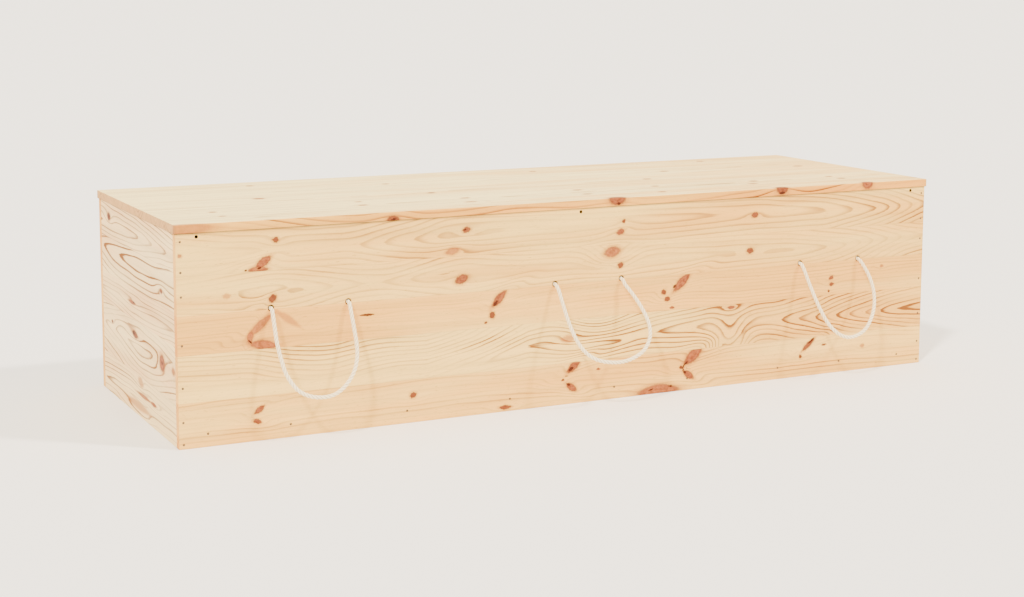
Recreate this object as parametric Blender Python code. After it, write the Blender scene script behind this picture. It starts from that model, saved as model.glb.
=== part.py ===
"""Plain pine coffin with rope handles.

A long rectangular box of glued pine panels. The two side boards lap over the
ends, the bottom board sits inside all four and stands a little above the
floor, and a flat lid rests on the rim with a small overhang. Finishing nails
hold the corners. Three rope handles hang on each long side, each one knotted
inside the box behind its two holes.

Frame: +X along the length, +Z up, the front long side faces -Y. The origin is
the middle of the footprint, on the floor. Units are metres.
"""

import math

import bmesh
import bpy
from mathutils import Matrix, Vector

# The box
BODY_LENGTH = 2.000
BODY_WIDTH = 0.670
BODY_HEIGHT = 0.468
SIDE_THICKNESS = 0.020
END_THICKNESS = 0.020
BOTTOM_THICKNESS = 0.020
BOTTOM_RISE = 0.019
BOARD_ARRIS = 0.0008

# The lid
LID_THICKNESS = 0.020
LID_OVERHANG = 0.003
LID_ARRIS = 0.0016

# The gap between pieces that touch
CLEARANCE = 0.0003

# Holes just under the rim, which take the pegs that keep the lid from shifting
PEG_HOLE_RADIUS = 0.0038
PEG_HOLE_BELOW_RIM = 0.0078
PEG_HOLE_FROM_END = 0.046
PEG_HOLE_OFF_CENTRE = 0.022
PEG_HOLE_SIDES = 16

# Rope handles
HANDLES_PER_SIDE = 3
HANDLE_FROM_END = 0.300
HANDLE_BELOW_RIM = 0.175
HANDLE_SPAN = 0.180
ROPE_DIAMETER = 0.009
ROPE_HOLE_RADIUS = 0.0065
ROPE_HOLE_SIDES = 16
ROPE_BEVEL_RESOLUTION = 2
ROPE_POINT_STEP = 2.3 * ROPE_DIAMETER
KNOT_RADIUS = 0.0125
KNOT_DEPTH = 0.021
KNOT_SIDES = 12

# Corner nails, set by hand, so the heights between the lowest and the highest
# are uneven shares of the row
NAIL_HEAD_RADIUS = 0.0022
NAIL_HEAD_DEPTH = 0.0014
NAIL_SHANK_RADIUS = 0.0012
NAIL_LENGTH = 0.050
NAIL_TIP = 0.004
NAIL_SIDES = 8
NAIL_ABOVE_BASE = 0.010
NAIL_BELOW_RIM = 0.017
NAIL_ROW_SHARES = (0.0, 0.11, 0.28, 0.49, 0.73, 0.85, 1.0)

# Each handle's rope as (along, out, up) from the middle of its two holes at
# the outer face. It starts and ends at the inner face of the board.
ROPE_ROUTES = (
    (
        (-0.090, -0.020, 0.000), (-0.090, -0.006, 0.000), (-0.090, 0.007, -0.003),
        (-0.090, 0.014, -0.017), (-0.089, 0.020, -0.040), (-0.087, 0.029, -0.073),
        (-0.082, 0.041, -0.108), (-0.074, 0.052, -0.140), (-0.055, 0.063, -0.171),
        (-0.030, 0.069, -0.187), (0.001, 0.071, -0.193), (0.030, 0.069, -0.190),
        (0.057, 0.063, -0.175), (0.080, 0.054, -0.150), (0.093, 0.043, -0.120),
        (0.096, 0.033, -0.090), (0.094, 0.023, -0.055), (0.091, 0.015, -0.023),
        (0.090, 0.007, -0.003), (0.090, -0.006, 0.000), (0.090, -0.020, 0.000),
    ),
    (
        (-0.090, -0.020, 0.000), (-0.090, -0.006, 0.000), (-0.090, 0.007, -0.003),
        (-0.088, 0.016, -0.015), (-0.084, 0.030, -0.046), (-0.078, 0.052, -0.090),
        (-0.068, 0.072, -0.127), (-0.053, 0.087, -0.152), (-0.028, 0.097, -0.169),
        (0.006, 0.102, -0.177), (0.038, 0.103, -0.178), (0.069, 0.100, -0.172),
        (0.100, 0.092, -0.159), (0.122, 0.080, -0.137), (0.131, 0.067, -0.115),
        (0.130, 0.054, -0.091), (0.120, 0.038, -0.061), (0.106, 0.024, -0.034),
        (0.093, 0.014, -0.014), (0.090, 0.007, -0.003), (0.090, -0.006, 0.000),
        (0.090, -0.020, 0.000),
    ),
    (
        (-0.090, -0.020, 0.000), (-0.090, -0.006, 0.000), (-0.090, 0.007, -0.003),
        (-0.087, 0.016, -0.018), (-0.079, 0.029, -0.053), (-0.068, 0.051, -0.101),
        (-0.054, 0.073, -0.143), (-0.033, 0.087, -0.169), (-0.004, 0.093, -0.181),
        (0.030, 0.091, -0.177), (0.061, 0.083, -0.162), (0.088, 0.069, -0.135),
        (0.105, 0.054, -0.106), (0.111, 0.040, -0.075), (0.108, 0.026, -0.044),
        (0.098, 0.015, -0.018), (0.090, 0.007, -0.003), (0.090, -0.006, 0.000),
        (0.090, -0.020, 0.000),
    ),
)

# Finishes as base colour, roughness and metallic value
FINISHES = {
    "side_pine": ((0.84, 0.65, 0.42), 0.55, 0.0),
    "end_pine": ((0.80, 0.64, 0.47), 0.58, 0.0),
    "lid_pine": ((0.84, 0.70, 0.50), 0.50, 0.0),
    "bottom_pine": ((0.78, 0.62, 0.42), 0.62, 0.0),
    "cotton_rope": ((0.88, 0.83, 0.72), 0.90, 0.0),
    "nail_steel": ((0.24, 0.25, 0.22), 0.45, 0.9),
}

SIDES = {"front": -1, "back": 1}
ENDS = {"left": -1, "right": 1}


def clear_scene():
    """Remove every object of the open file."""
    for item in list(bpy.data.objects):
        bpy.data.objects.remove(item, do_unlink=True)


def finish_material(name):
    """Return the named finish as a material, made on first use."""
    material = bpy.data.materials.get(name)
    if material is None:
        colour, roughness, metallic = FINISHES[name]
        material = bpy.data.materials.new(name)
        material.use_nodes = True
        shader = material.node_tree.nodes["Principled BSDF"]
        shader.inputs["Base Color"].default_value = (*colour, 1.0)
        shader.inputs["Roughness"].default_value = roughness
        shader.inputs["Metallic"].default_value = metallic
        material.diffuse_color = (*colour, 1.0)
    return material


def link_object(name, data, material_name):
    """Add an object for mesh or curve data, with its own finish."""
    item = bpy.data.objects.new(name, data)
    bpy.context.scene.collection.objects.link(item)
    if material_name:
        data.materials.append(finish_material(material_name))
    return item


def turned_mesh(name, outline, sides):
    """Spin an outline of (radius, along) points about the Y axis.

    The outline runs from one pole on the axis to the other along +Y.
    """
    mesh = bpy.data.meshes.new(name)
    shape = bmesh.new()
    rings = []
    for radius, along in outline[1:-1]:
        ring = []
        for step in range(sides):
            angle = 2.0 * math.pi * (step + 0.5) / sides
            point = (radius * math.cos(angle), along, radius * math.sin(angle))
            ring.append(shape.verts.new(point))
        rings.append(ring)
    for lower, upper in zip(rings, rings[1:]):
        for i in range(sides):
            shape.faces.new((lower[i - 1], lower[i], upper[i], upper[i - 1]))
    for ring, (_, along) in ((rings[0], outline[0]), (rings[-1], outline[-1])):
        flat = all(abs(vert.co.y - along) < 1e-7 for vert in ring)
        if flat:
            shape.faces.new(ring)
        else:
            pole = shape.verts.new((0.0, along, 0.0))
            for i in range(sides):
                shape.faces.new((ring[i - 1], ring[i], pole))
    bmesh.ops.recalc_face_normals(shape, faces=shape.faces)
    shape.to_mesh(mesh)
    shape.free()
    return mesh


def nail_outline():
    """Half profile of a finishing nail along +Y, head first."""
    return (
        (0.0, 0.0),
        (NAIL_HEAD_RADIUS, 0.0),
        (NAIL_HEAD_RADIUS, NAIL_HEAD_DEPTH),
        (NAIL_SHANK_RADIUS, NAIL_HEAD_DEPTH),
        (NAIL_SHANK_RADIUS, NAIL_LENGTH - NAIL_TIP),
        (0.0, NAIL_LENGTH),
    )


def board(name, low, high, arris, material_name):
    """A rectangular board between two corners with its edges eased."""
    size = Vector(high) - Vector(low)
    mesh = bpy.data.meshes.new(name)
    shape = bmesh.new()
    bmesh.ops.create_cube(shape, size=1.0)
    bmesh.ops.scale(shape, vec=size, verts=shape.verts)
    shape.to_mesh(mesh)
    shape.free()
    item = link_object(name, mesh, material_name)
    item.location = (Vector(low) + Vector(high)) / 2.0
    easing = item.modifiers.new("eased edges", "BEVEL")
    easing.width = arris
    easing.segments = 1
    easing.limit_method = "ANGLE"
    return item


def cut(item, cutters):
    """Cut each cutter out of an object. Cutters are hidden guides."""
    for cutter in cutters:
        cutter.hide_render = True
        cutter.display_type = "WIRE"
        opening = item.modifiers.new(cutter.name, "BOOLEAN")
        opening.operation = "DIFFERENCE"
        opening.solver = "EXACT"
        opening.object = cutter


def drilled(name, places, side_sign, radius, start, end, sides):
    """One cutter object that drills a round hole at each place.

    Each hole runs from start to end, measured inward from the outer face.
    """
    mesh = bpy.data.meshes.new(name)
    shape = bmesh.new()
    across = Matrix.Rotation(math.pi / 2.0, 4, "X")
    middle = Vector((0.0, -side_sign * (start + end) / 2.0, 0.0))
    for place in places:
        bmesh.ops.create_cone(
            shape,
            cap_ends=True,
            segments=sides,
            radius1=radius,
            radius2=radius,
            depth=end - start,
            matrix=Matrix.Translation(Vector(place) + middle) @ across,
        )
    shape.to_mesh(mesh)
    shape.free()
    return link_object(name, mesh, None)


def handle_centres():
    """Distance of each handle's middle from the middle of the box."""
    reach = BODY_LENGTH / 2.0 - HANDLE_FROM_END
    gaps = HANDLES_PER_SIDE - 1
    return [reach * (2.0 * step / gaps - 1.0) for step in range(HANDLES_PER_SIDE)]


def rope_hole_places(side_sign):
    """Centre of each rope hole on the outer face of a side board."""
    outer = side_sign * BODY_WIDTH / 2.0
    height = BODY_HEIGHT - HANDLE_BELOW_RIM
    return [
        (centre + end_sign * HANDLE_SPAN / 2.0, outer, height)
        for centre in handle_centres()
        for end_sign in (-1, 1)
    ]


def peg_hole_places(side_sign):
    """Centre of each peg hole on the outer face of a side board."""
    reach = BODY_LENGTH / 2.0 - PEG_HOLE_FROM_END
    outer = side_sign * BODY_WIDTH / 2.0
    height = BODY_HEIGHT - PEG_HOLE_BELOW_RIM
    return [(along, outer, height) for along in (-reach, -PEG_HOLE_OFF_CENTRE, reach)]


def corner_nail_places(side_sign, end_sign):
    """Where each nail of one corner row enters the side board, low to high."""
    along = end_sign * (BODY_LENGTH - END_THICKNESS) / 2.0
    outer = side_sign * BODY_WIDTH / 2.0
    low = NAIL_ABOVE_BASE
    span = BODY_HEIGHT - NAIL_BELOW_RIM - NAIL_ABOVE_BASE
    return [(along, outer, low + share * span) for share in NAIL_ROW_SHARES]


def nail_cutters(label, side_sign, end_signs):
    """The shank bores and the head recesses of one or two corner rows."""
    places = []
    for end_sign in end_signs:
        places.extend(corner_nail_places(side_sign, end_sign))
    shank = NAIL_SHANK_RADIUS + CLEARANCE
    shank_end = NAIL_LENGTH + 2.0 * CLEARANCE
    head = NAIL_HEAD_RADIUS + CLEARANCE
    head_end = NAIL_HEAD_DEPTH + 2.0 * CLEARANCE
    return [
        drilled("shank_" + label, places, side_sign, shank, -head_end, shank_end, NAIL_SIDES),
        drilled("recess_" + label, places, side_sign, head, -head_end, head_end, NAIL_SIDES),
    ]


def make_side_board(label):
    """One long side board, which laps over both ends, with all its holes."""
    side_sign = SIDES[label]
    outer = side_sign * BODY_WIDTH / 2.0
    inner = outer - side_sign * SIDE_THICKNESS
    item = board(
        "side_board_" + label,
        (-BODY_LENGTH / 2.0, min(outer, inner), 0.0),
        (BODY_LENGTH / 2.0, max(outer, inner), BODY_HEIGHT),
        BOARD_ARRIS,
        "side_pine",
    )
    past = SIDE_THICKNESS / 2.0
    through = SIDE_THICKNESS + past
    ropes = rope_hole_places(side_sign)
    pegs = peg_hole_places(side_sign)
    cutters = [
        drilled("ropes_" + label, ropes, side_sign, ROPE_HOLE_RADIUS, -past, through, ROPE_HOLE_SIDES),
        drilled("pegs_" + label, pegs, side_sign, PEG_HOLE_RADIUS, -past, through, PEG_HOLE_SIDES),
    ]
    cutters += nail_cutters("side_" + label, side_sign, (-1, 1))
    cut(item, cutters)


def make_end_board(label):
    """One end board, held between the sides, with its nail bores."""
    end_sign = ENDS[label]
    outer = end_sign * BODY_LENGTH / 2.0
    inner = outer - end_sign * END_THICKNESS
    half = BODY_WIDTH / 2.0 - SIDE_THICKNESS - CLEARANCE
    item = board(
        "end_board_" + label,
        (min(outer, inner), -half, 0.0),
        (max(outer, inner), half, BODY_HEIGHT),
        BOARD_ARRIS,
        "end_pine",
    )
    cutters = []
    for side, side_sign in SIDES.items():
        cutters += nail_cutters("end_" + label + "_" + side, side_sign, (end_sign,))
    cut(item, cutters)


def make_bottom_board():
    """The bottom, inside the sides and ends and a little above the floor."""
    half_length = BODY_LENGTH / 2.0 - END_THICKNESS - CLEARANCE
    half_width = BODY_WIDTH / 2.0 - SIDE_THICKNESS - CLEARANCE
    board(
        "bottom_board",
        (-half_length, -half_width, BOTTOM_RISE),
        (half_length, half_width, BOTTOM_RISE + BOTTOM_THICKNESS),
        BOARD_ARRIS,
        "bottom_pine",
    )


def make_lid():
    """The flat lid, resting on the rim with a small overhang all round."""
    half_length = BODY_LENGTH / 2.0 + LID_OVERHANG
    half_width = BODY_WIDTH / 2.0 + LID_OVERHANG
    base = BODY_HEIGHT + CLEARANCE
    board(
        "lid_board",
        (-half_length, -half_width, base),
        (half_length, half_width, base + LID_THICKNESS),
        LID_ARRIS,
        "lid_pine",
    )


def make_corner_nails():
    """Finishing nails through the side boards into the edges of the ends."""
    mesh = turned_mesh("corner_nail", nail_outline(), NAIL_SIDES)
    mesh.materials.append(finish_material("nail_steel"))
    for side, side_sign in SIDES.items():
        for end, end_sign in ENDS.items():
            places = corner_nail_places(side_sign, end_sign)
            for number, place in enumerate(places, start=1):
                name = "nail_" + side + "_" + end + "_" + str(number)
                item = link_object(name, mesh, None)
                item.location = Vector(place) - Vector((0.0, side_sign * CLEARANCE, 0.0))
                if side_sign > 0:
                    item.rotation_euler = (0.0, 0.0, math.pi)


def smooth_route(points, step):
    """Points about one step apart on a smooth curve through the given points."""
    route = [Vector(point) for point in points]
    ends = [2.0 * route[0] - route[1], *route, 2.0 * route[-1] - route[-2]]
    fine = []
    for before, start, end, after in zip(ends, ends[1:], ends[2:], ends[3:]):
        for part in range(16):
            t = part / 16.0
            fine.append(
                0.5
                * (
                    2.0 * start
                    + (end - before) * t
                    + (2.0 * before - 5.0 * start + 4.0 * end - after) * t * t
                    + (3.0 * start - before - 3.0 * end + after) * t * t * t
                )
            )
    fine.append(route[-1])
    travelled = [0.0]
    for start, end in zip(fine, fine[1:]):
        travelled.append(travelled[-1] + (end - start).length)
    count = max(2, round(travelled[-1] / step))
    spaced = []
    place = 0
    for number in range(count + 1):
        target = travelled[-1] * number / count
        while place < len(fine) - 2 and travelled[place + 1] < target:
            place += 1
        share = (target - travelled[place]) / (travelled[place + 1] - travelled[place])
        spaced.append(fine[place].lerp(fine[place + 1], share))
    return spaced


def make_rope(name, route, centre, side_sign):
    """One handle's rope as a round tube with filled ends."""
    height = BODY_HEIGHT - HANDLE_BELOW_RIM
    outer = BODY_WIDTH / 2.0
    hole_shift = HANDLE_SPAN / 2.0 - abs(route[0][0])
    depth_shift = SIDE_THICKNESS + route[0][1]
    last = len(route) - 1
    placed = []
    for number, (along, out, up) in enumerate(route):
        if number in (0, 1, last - 1, last):
            along += math.copysign(hole_shift, along)
        if number in (0, last):
            out -= depth_shift
        placed.append((along, side_sign * (outer + out), height + up))
    curve = bpy.data.curves.new(name, "CURVE")
    curve.dimensions = "3D"
    curve.bevel_depth = ROPE_DIAMETER / 2.0
    curve.bevel_resolution = ROPE_BEVEL_RESOLUTION
    curve.use_fill_caps = True
    points = smooth_route(placed, ROPE_POINT_STEP)
    spline = curve.splines.new("POLY")
    spline.points.add(len(points) - 1)
    for slot, point in zip(spline.points, points):
        slot.co = (*point, 1.0)
    item = link_object(name, curve, "cotton_rope")
    item.location = (centre, 0.0, 0.0)


def knot_mesh():
    """A round knot, flat where it bears on the board, as a turned shape."""
    outline = (
        (0.0, 0.0),
        (0.62 * KNOT_RADIUS, 0.0),
        (0.95 * KNOT_RADIUS, 0.22 * KNOT_DEPTH),
        (KNOT_RADIUS, 0.50 * KNOT_DEPTH),
        (0.72 * KNOT_RADIUS, 0.86 * KNOT_DEPTH),
        (0.0, KNOT_DEPTH),
    )
    return turned_mesh("rope_knot", outline, KNOT_SIDES)


def make_rope_handles():
    """Three ropes on each long side, each with a knot behind both its holes."""
    knot = knot_mesh()
    knot.materials.append(finish_material("cotton_rope"))
    height = BODY_HEIGHT - HANDLE_BELOW_RIM
    for side, side_sign in SIDES.items():
        bearing = side_sign * (BODY_WIDTH / 2.0 - SIDE_THICKNESS - CLEARANCE)
        for number, centre in enumerate(handle_centres()):
            label = side + "_" + str(number + 1)
            route = ROPE_ROUTES[number % len(ROPE_ROUTES)]
            make_rope("rope_handle_" + label, route, centre, side_sign)
            for end, end_sign in ENDS.items():
                item = link_object("rope_knot_" + label + "_" + end, knot, None)
                item.location = (centre + end_sign * HANDLE_SPAN / 2.0, bearing, height)
                if side_sign > 0:
                    item.rotation_euler = (0.0, 0.0, math.pi)


def build_coffin():
    """Build every piece of the coffin in place."""
    clear_scene()
    for label in SIDES:
        make_side_board(label)
    for label in ENDS:
        make_end_board(label)
    make_bottom_board()
    make_lid()
    make_corner_nails()
    make_rope_handles()


build_coffin()
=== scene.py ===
"""Visual scene of a plain pine coffin: glued boards, a flat lid, finishing nails and rope handles."""

import math

import bpy
import numpy as np
from mathutils import Matrix


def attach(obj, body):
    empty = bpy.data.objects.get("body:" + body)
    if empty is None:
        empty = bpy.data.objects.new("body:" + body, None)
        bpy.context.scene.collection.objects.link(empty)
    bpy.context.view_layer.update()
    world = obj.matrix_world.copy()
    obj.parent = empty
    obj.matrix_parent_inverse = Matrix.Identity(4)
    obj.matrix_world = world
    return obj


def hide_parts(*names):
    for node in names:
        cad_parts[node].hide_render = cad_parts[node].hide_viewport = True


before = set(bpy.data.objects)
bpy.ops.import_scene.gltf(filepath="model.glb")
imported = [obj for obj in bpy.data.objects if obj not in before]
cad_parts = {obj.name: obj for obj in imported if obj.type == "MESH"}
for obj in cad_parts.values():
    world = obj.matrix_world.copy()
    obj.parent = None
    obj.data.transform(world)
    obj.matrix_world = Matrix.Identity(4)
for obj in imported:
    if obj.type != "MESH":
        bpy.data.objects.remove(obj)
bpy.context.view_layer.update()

# The box, in metres
HALF_LENGTH = 1.0
HALF_WIDTH = 0.335
BOARD = 0.020
RIM = 0.468
CLEARANCE = 0.0003
BOTTOM_RISE = 0.019
LID_OVERHANG = 0.003
LID_TOP = 0.4883
LID_THICKNESS = 0.020
HANDLE_CENTRES = (-0.7, 0.0, 0.7)
HANDLE_HALF_SPAN = 0.090
ROPE_HOLE_HEIGHT = 0.293
ROPE_DIAMETER = 0.009
PEG_PLACES = ((-0.954, 0.4602), (-0.022, 0.4602), (0.954, 0.4602))
CORNER_NAIL_X = 0.990
CORNER_NAIL_HEIGHTS = (0.0100, 0.05851, 0.13348, 0.22609, 0.33193, 0.38485, 0.4510)
BOTTOM_NAIL_HEIGHT = 0.029
BOTTOM_NAIL_X = (-0.936, -0.748, -0.469, -0.208, 0.073, 0.279, 0.548, 0.738, 0.924)
NAIL_HEAD_BELOW = 0.0003
MM = 1000.0

# Camera of the photograph
CAMERA_PLACE = (-2.02648, -3.98709, 1.02304)
CAMERA_YAW = 0.462874
CAMERA_PITCH = -0.125678
CAMERA_ROLL = 0.003093
CAMERA_LENS = 62.633
CAMERA_SHIFT = -0.10


def set_pose(thing, right, above, back, place):
    """Puts a camera or a lamp at a place, turned by its own three directions in the frame."""
    matrix = Matrix.Identity(4)
    for row in range(3):
        matrix[row] = (right[row], above[row], back[row], place[row])
    thing.matrix_world = matrix


def make_camera():
    """The photograph's viewpoint, from the front left and a little above."""
    data = bpy.data.cameras.new("camera")
    data.sensor_width = 36.0
    data.lens = CAMERA_LENS
    data.shift_y = CAMERA_SHIFT
    camera = bpy.data.objects.new("camera", data)
    bpy.context.collection.objects.link(camera)
    level = math.cos(CAMERA_PITCH)
    ahead = np.array((math.sin(CAMERA_YAW) * level, math.cos(CAMERA_YAW) * level, math.sin(CAMERA_PITCH)))
    right = np.cross(ahead, (0.0, 0.0, 1.0))
    right = right / np.linalg.norm(right)
    above = np.cross(right, ahead)
    turned_right = right * math.cos(CAMERA_ROLL) + above * math.sin(CAMERA_ROLL)
    turned_above = above * math.cos(CAMERA_ROLL) - right * math.sin(CAMERA_ROLL)
    set_pose(camera, turned_right, turned_above, -ahead, CAMERA_PLACE)
    bpy.context.scene.camera = camera


make_camera()


# Meshes


def mesh_object(name, vertices, quads, triangles=()):
    """A closed mesh from arrays, turned right side out."""
    vertices = np.asarray(vertices, dtype=np.float64)
    quads = np.asarray(quads, dtype=np.int64).reshape(-1, 4)
    triangles = np.asarray(triangles, dtype=np.int64).reshape(-1, 3)
    halves = np.concatenate((quads[:, (0, 1, 2)], quads[:, (0, 2, 3)], triangles))
    corners = vertices[halves]
    volume = np.einsum("ij,ij->i", corners[:, 0], np.cross(corners[:, 1], corners[:, 2])).sum()
    if volume < 0:
        quads = quads[:, ::-1]
        triangles = triangles[:, ::-1]
    mesh = bpy.data.meshes.new(name)
    mesh.vertices.add(len(vertices))
    mesh.vertices.foreach_set("co", vertices.astype(np.float32).ravel())
    loops = np.concatenate((quads.ravel(), triangles.ravel()))
    mesh.loops.add(len(loops))
    mesh.loops.foreach_set("vertex_index", loops.astype(np.int32))
    totals = np.concatenate((np.full(len(quads), 4), np.full(len(triangles), 3)))
    starts = np.concatenate(((0,), np.cumsum(totals)[:-1]))
    mesh.polygons.add(len(totals))
    mesh.polygons.foreach_set("loop_start", starts.astype(np.int32))
    mesh.polygons.foreach_set("loop_total", totals.astype(np.int32))
    mesh.update(calc_edges=True)
    mesh.validate()
    made = bpy.data.objects.new(name, mesh)
    bpy.context.collection.objects.link(made)
    return made


def write_on_points(made, name, values):
    """One number or one vector for each point of an object's mesh, for its material to read."""
    values = np.asarray(values, dtype=np.float32)
    kind, field = ("FLOAT_VECTOR", "vector") if values.ndim == 2 else ("FLOAT", "value")
    made.data.attributes.new(name, kind, "POINT").data.foreach_set(field, values.ravel())


def unit_rows(vectors):
    return vectors / np.linalg.norm(vectors, axis=1)[:, None]


# Rope handles. Each point is (along the board, out from its face, up from the holes) in millimetres.
# Every rope starts and ends alike, in its two holes.
ROUTE_START = ((-90, -20, 0), (-90, -6, 0), (-90, 7, -3))
ROUTE_END = tuple((-along, out, up) for along, out, up in reversed(ROUTE_START))
ROPE_ROUTES = (
    (
        (-90, 14, -17), (-89, 20, -40), (-87, 29, -73), (-82, 41, -108), (-74, 52, -140),
        (-55, 63, -171), (-30, 69, -187), (1, 71, -193), (30, 69, -190), (57, 63, -175),
        (80, 54, -150), (93, 43, -120), (96, 33, -90), (94, 23, -55), (91, 15, -23),
    ),
    (
        (-88, 16, -15), (-84, 30, -46), (-78, 52, -90), (-68, 72, -127), (-53, 87, -152),
        (-28, 97, -169), (6, 102, -177), (38, 103, -178), (69, 100, -172), (100, 92, -159),
        (122, 80, -137), (131, 67, -115), (130, 54, -91), (120, 38, -61), (106, 24, -34),
        (93, 14, -14),
    ),
    (
        (-87, 16, -18), (-79, 29, -53), (-68, 51, -101), (-54, 73, -143), (-33, 87, -169),
        (-4, 93, -181), (30, 91, -177), (61, 83, -162), (88, 69, -135), (105, 54, -106),
        (111, 40, -75), (108, 26, -44), (98, 15, -18),
    ),
)
ROPE_SIDES = 24
ROPE_RING_STEP = 0.0016
ROPE_LAY = 0.030
KNOT_BEHIND_BOARD = 0.0104
KNOT_SIZE = 0.0125
KNOT_ROPE_RADIUS = ROPE_DIAMETER * 0.46


def smooth_route(points, step):
    """A smooth line through the points, as evenly spaced points."""
    points = np.asarray(points, dtype=np.float64)
    padded = np.concatenate((points[:1] * 2 - points[1:2], points, points[-1:] * 2 - points[-2:-1]))
    shares = np.linspace(0.0, 1.0, 16, endpoint=False)[:, None]
    pieces = []
    for first in range(len(points) - 1):
        a, b, c, d = padded[first : first + 4]
        bend = (2 * a - 5 * b + 4 * c - d) * shares**2
        twist = (3 * b - a - 3 * c + d) * shares**3
        pieces.append(0.5 * (2 * b + (c - a) * shares + bend + twist))
    fine = np.concatenate((*pieces, points[-1:]))
    lengths = np.concatenate(((0.0,), np.cumsum(np.linalg.norm(np.diff(fine, axis=0), axis=1))))
    count = int(round(lengths[-1] / step)) + 1
    wanted = np.linspace(0.0, lengths[-1], count)
    return np.stack([np.interp(wanted, lengths, fine[:, axis]) for axis in range(3)], axis=1)


def carried_frames(line):
    """Two directions across the line at every point, carried along without twist."""
    ahead = unit_rows(np.gradient(line, axis=0))
    side = np.cross(ahead[0], (0.31, 0.17, 0.94))
    side /= np.linalg.norm(side)
    sides = []
    for direction in ahead:
        side = side - direction * np.dot(side, direction)
        side = side / np.linalg.norm(side)
        sides.append(side)
    sides = np.array(sides)
    return sides, np.cross(ahead, sides)


def rope_mesh(name, line, radius, lay, closed):
    """A three-strand rope along the line. Each point's strand is 1 on a strand and 0 in a groove."""
    count = len(line)
    if closed:
        ahead = unit_rows(np.roll(line, -1, axis=0) - np.roll(line, 1, axis=0))
        sides = unit_rows(np.cross(ahead, (0.0, 0.0, 1.0)))
        others = np.cross(ahead, sides)
        step = np.linalg.norm(np.roll(line, -1, axis=0) - line, axis=1)
        total = step.sum()
        lay = total / max(1, round(total / lay))
    else:
        sides, others = carried_frames(line)
        step = np.linalg.norm(np.diff(line, axis=0), axis=1)
    travelled = np.concatenate(((0.0,), np.cumsum(step)))[:count]
    angles = np.arange(ROPE_SIDES) * 2 * math.pi / ROPE_SIDES
    turned = angles[None, :] - travelled[:, None] * 2 * math.pi / lay
    strand = np.abs(np.cos(1.5 * turned)) ** 0.7
    reach = radius * (0.74 + 0.26 * strand)
    ring = (
        sides[:, None, :] * np.cos(angles)[None, :, None]
        + others[:, None, :] * np.sin(angles)[None, :, None]
    )
    vertices = (line[:, None, :] + ring * reach[:, :, None]).reshape(-1, 3)
    rows = np.arange(count if closed else count - 1)
    columns = np.arange(ROPE_SIDES)
    near = (rows * ROPE_SIDES)[:, None]
    far = (((rows + 1) % count) * ROPE_SIDES)[:, None]
    beside = (columns + 1) % ROPE_SIDES
    quads = np.stack(
        (near + columns, near + beside, far + beside, far + columns), axis=-1
    ).reshape(-1, 4)
    triangles = []
    if not closed:
        vertices = np.concatenate((vertices, line[:1], line[-1:]))
        first_middle = count * ROPE_SIDES
        last_ring = (count - 1) * ROPE_SIDES
        for column in range(ROPE_SIDES):
            following = (column + 1) % ROPE_SIDES
            triangles.append((first_middle, following, column))
            triangles.append((first_middle + 1, last_ring + column, last_ring + following))
    rope = mesh_object(name, vertices, quads, triangles)
    shade = np.zeros(len(vertices))
    shade[: count * ROPE_SIDES] = strand.reshape(-1)
    write_on_points(rope, "strand", shade)
    rope.data.polygons.foreach_set("use_smooth", np.ones(len(rope.data.polygons), dtype=bool))
    return rope


def knot_line(middle, outward, size):
    """The closed line of a pulled-tight overhand knot, whose axis is along the rope."""
    turns = np.linspace(0.0, 2 * math.pi, 120, endpoint=False)
    big = size * (0.46 + 0.24 * np.cos(3 * turns))
    rise = size * 0.42 * np.sin(3 * turns) * outward
    return np.asarray(middle) + np.stack((big * np.cos(2 * turns), rise, big * np.sin(2 * turns)), axis=1)


def make_handles():
    ropes = []
    for side, side_sign in (("front", -1.0), ("back", 1.0)):
        for number, centre in enumerate(HANDLE_CENTRES, 1):
            route = [
                (centre + along / MM, side_sign * (HALF_WIDTH + out / MM), ROPE_HOLE_HEIGHT + up / MM)
                for along, out, up in (*ROUTE_START, *ROPE_ROUTES[number - 1], *ROUTE_END)
            ]
            line = smooth_route(route, ROPE_RING_STEP)
            rope = rope_mesh(f"rope_{side}_{number}", line, ROPE_DIAMETER / 2, ROPE_LAY, False)
            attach(rope, "root")
            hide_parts(f"rope_handle_{side}_{number}")
            knots = []
            for end, along in (("left", -HANDLE_HALF_SPAN), ("right", HANDLE_HALF_SPAN)):
                behind = HALF_WIDTH - BOARD - CLEARANCE - KNOT_BEHIND_BOARD
                tied = knot_line((centre + along, side_sign * behind, ROPE_HOLE_HEIGHT), side_sign, KNOT_SIZE)
                knot = rope_mesh(f"knot_{side}_{number}_{end}", tied, KNOT_ROPE_RADIUS, ROPE_LAY, True)
                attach(knot, "root")
                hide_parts(f"rope_knot_{side}_{number}_{end}")
                knots.append(knot)
            ropes.append(rope)
            ropes.extend(knots)
    return ropes


handles = make_handles()


# Grain. All of it is in millimetres: along the grain, across it and in from the face.
# The strips of a glued panel lie between its edges. Each is (heart line across, ring spacing,
# contrast, tone from yellow 0 to pink 1, ((along, ring number), ...)). The heart line, contrast
# and tone are each a number for the whole strip, or pairs ((along, value), ...).


def as_pairs(value):
    return value if isinstance(value, tuple) else ((0, value),)


def strips_between(edges, rows):
    """Names the strips of one panel, from its edges and each strip's own figure."""
    return [
        {
            "low": edges[number],
            "high": edges[number + 1],
            "heart": as_pairs(heart),
            "spacing": spacing,
            "contrast": as_pairs(contrast),
            "tone": as_pairs(tone),
            "tips": tips,
        }
        for number, (heart, spacing, contrast, tone, tips) in enumerate(rows)
    ]


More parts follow.
